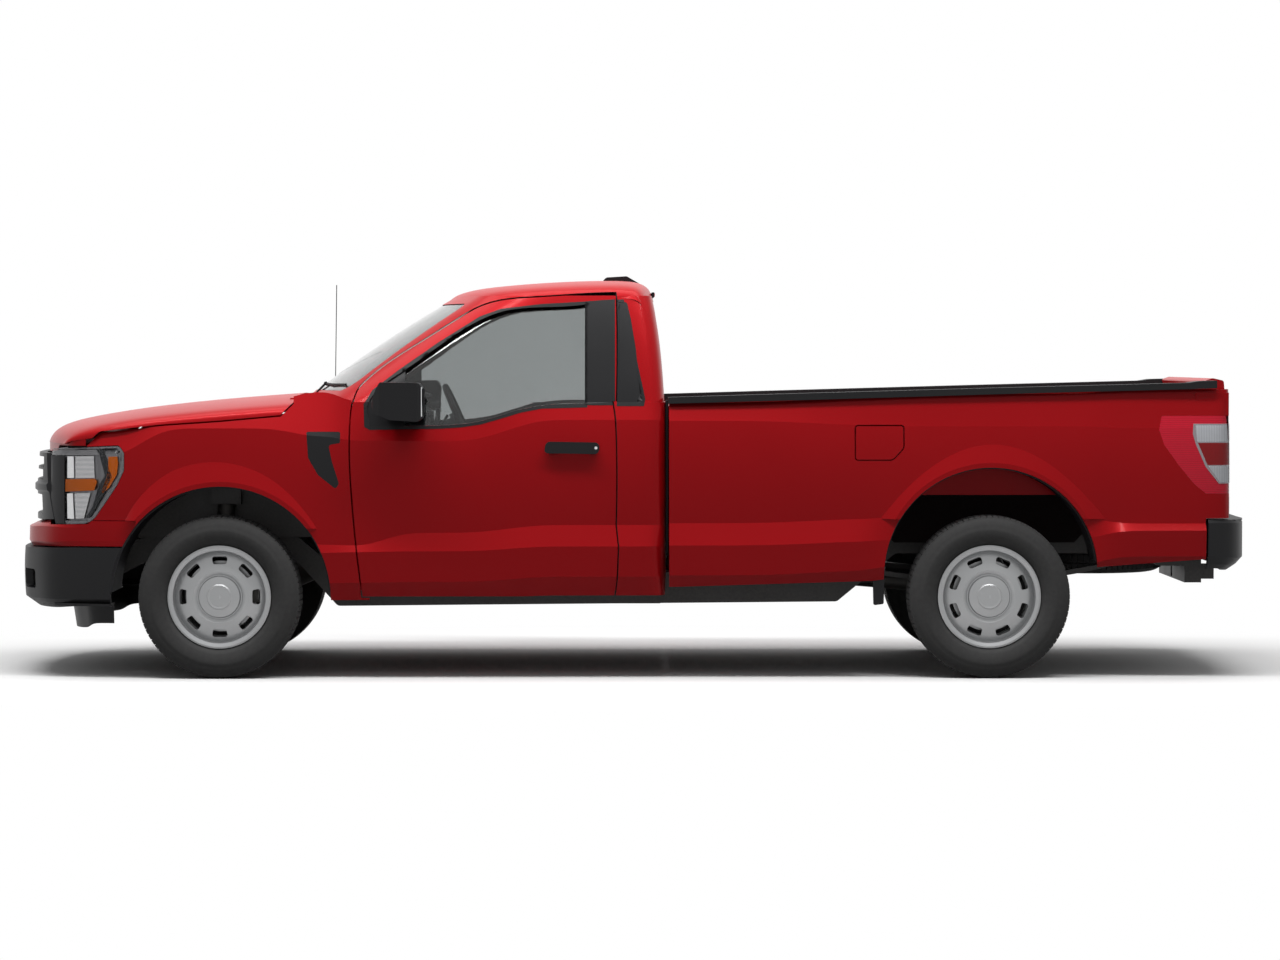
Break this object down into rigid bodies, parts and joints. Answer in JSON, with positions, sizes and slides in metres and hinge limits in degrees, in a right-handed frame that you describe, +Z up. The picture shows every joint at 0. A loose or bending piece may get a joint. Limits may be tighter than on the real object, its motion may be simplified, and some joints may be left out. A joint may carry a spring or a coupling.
{
  "type": "pickup truck",
  "caption": "Full-size two-door pickup truck with a long load bed, opening doors, hood, tailgate and fuel flap, steering and rolling wheels",
  "frame": {"origin": "on the ground, under the middle of the truck's outer box", "axes": "+X towards the tail, +Y towards the passenger's side on the right, +Z up; the nose points to -X"},
  "size_m": [5.83, 2.3594, 1.8876],
  "materials": {
    "red_paint": "deep red metallic paint under clear coat",
    "chassis_steel": "black waxed steel",
    "black_steel": "black powder coat",
    "engine_metal": "bare casting",
    "cast_metal": "bare casting",
    "exhaust_steel": "dull steel tube",
    "black_plastic": "grained black plastic",
    "gloss_black": "gloss black plastic",
    "lamp_clear": "clear lamp cover",
    "lamp_red": "red lamp cover",
    "window_glass": "lightly tinted glass",
    "seat_cloth": "woven seat cloth",
    "tyre_rubber": "worn tyre rubber",
    "silver_steel": "silver wheel paint"
  },
  "bodies": {
    "chassis": {"frame": "chassis_steel", "engine_block": "engine_metal", "driveline": "cast_metal", "rear_axle": "chassis_steel", "leaf_springs": "chassis_steel", "front_suspension": "chassis_steel", "exhaust": "exhaust_steel", "fuel_tank": "black_plastic", "spare_wheel": "tyre_rubber", "front_structure": "black_steel", "wheel_liners": "black_plastic", "fenders": "red_paint", "side_trims": "gloss_black", "fascia_cap": "red_paint", "front_bumper": "black_plastic", "grille": "gloss_black", "headlamps": "lamp_clear", "cab_shell": "red_paint", "cab_floor": "red_paint", "cab_glass": "window_glass", "cowl_panel": "black_plastic", "roof_lamp": "lamp_red", "bed_box": "red_paint", "bed_sides": "red_paint", "rail_caps": "black_plastic", "tail_lamps": "lamp_red", "rear_bumper": "black_steel", "seat_cushions": "seat_cloth", "seat_backs": "seat_cloth", "seat_frame": "black_steel", "dashboard": "black_plastic", "steering_column": "black_plastic"},
    "hood_lid": {"hood": "red_paint"},
    "tailgate_lid": {"tailgate": "red_paint", "tailgate_handle": "black_plastic"},
    "fuel_flap": {"fuel_door": "red_paint"},
    "steering_wheel_body": {"steering_wheel": "black_plastic"},
    "door_left_body": {"door_left": "red_paint", "door_glass_left": "window_glass", "door_trim_left": "black_plastic"},
    "hub_left": {"knuckle_left": "cast_metal"},
    "wheel_front_left": {"tyre_front_left": "tyre_rubber", "rim_front_left": "silver_steel"},
    "wheel_rear_left": {"tyre_rear_left": "tyre_rubber", "rim_rear_left": "silver_steel"},
    "door_right_body": {"door_right": "red_paint", "door_glass_right": "window_glass", "door_trim_right": "black_plastic"},
    "hub_right": {"knuckle_right": "cast_metal"},
    "wheel_front_right": {"tyre_front_right": "tyre_rubber", "rim_front_right": "silver_steel"},
    "wheel_rear_right": {"tyre_rear_right": "tyre_rubber", "rim_rear_right": "silver_steel"}
  },
  "joints": [
    {"name": "door_left", "type": "hinge", "parent": "chassis", "child": "door_left_body", "pos_m": [-1.3055, -0.991, 0.8], "axis": [0, 0, -1], "range_deg": [0, 65]},
    {"name": "steer_left", "type": "hinge", "parent": "chassis", "child": "hub_left", "pos_m": [-1.912, -0.7965, 0.38], "axis": [0, 0, 1], "range_deg": [-33, 33]},
    {"name": "front_left_spin", "type": "hinge", "parent": "hub_left", "child": "wheel_front_left", "pos_m": [-1.912, -0.8585, 0.38], "axis": [0, 1, 0], "continuous": true},
    {"name": "rear_left_spin", "type": "hinge", "parent": "chassis", "child": "wheel_rear_left", "pos_m": [1.672, -0.8585, 0.38], "axis": [0, 1, 0], "continuous": true},
    {"name": "door_right", "type": "hinge", "parent": "chassis", "child": "door_right_body", "pos_m": [-1.3055, 0.991, 0.8], "axis": [0, 0, 1], "range_deg": [0, 65]},
    {"name": "steer_right", "type": "hinge", "parent": "chassis", "child": "hub_right", "pos_m": [-1.912, 0.7965, 0.38], "axis": [0, 0, 1], "range_deg": [-33, 33]},
    {"name": "front_right_spin", "type": "hinge", "parent": "hub_right", "child": "wheel_front_right", "pos_m": [-1.912, 0.8585, 0.38], "axis": [0, 1, 0], "continuous": true},
    {"name": "rear_right_spin", "type": "hinge", "parent": "chassis", "child": "wheel_rear_right", "pos_m": [1.672, 0.8585, 0.38], "axis": [0, 1, 0], "continuous": true},
    {"name": "hood_lift", "type": "hinge", "parent": "chassis", "child": "hood_lid", "pos_m": [-1.568, 0, 1.3], "axis": [0, 1, 0], "range_deg": [0, 50]},
    {"name": "tailgate_drop", "type": "hinge", "parent": "chassis", "child": "tailgate_lid", "pos_m": [2.736, 0, 0.838], "axis": [0, 1, 0], "range_deg": [0, 90]},
    {"name": "fuel_flap_hinge", "type": "hinge", "parent": "chassis", "child": "fuel_flap", "pos_m": [1.044, -0.994, 1.098], "axis": [0, 0, -1], "range_deg": [0, 100]},
    {"name": "steering_wheel_turn", "type": "hinge", "parent": "chassis", "child": "steering_wheel_body", "pos_m": [-0.807, -0.39, 1.19], "axis": [0.9135, 0, 0.4067], "range_deg": [-500, 500]}
  ],
  "couplings": [
    {"joint": "steer_right", "follows": "steer_left", "ratio": 1},
    {"joint": "steering_wheel_turn", "follows": "steer_left", "ratio": 15}
  ]
}
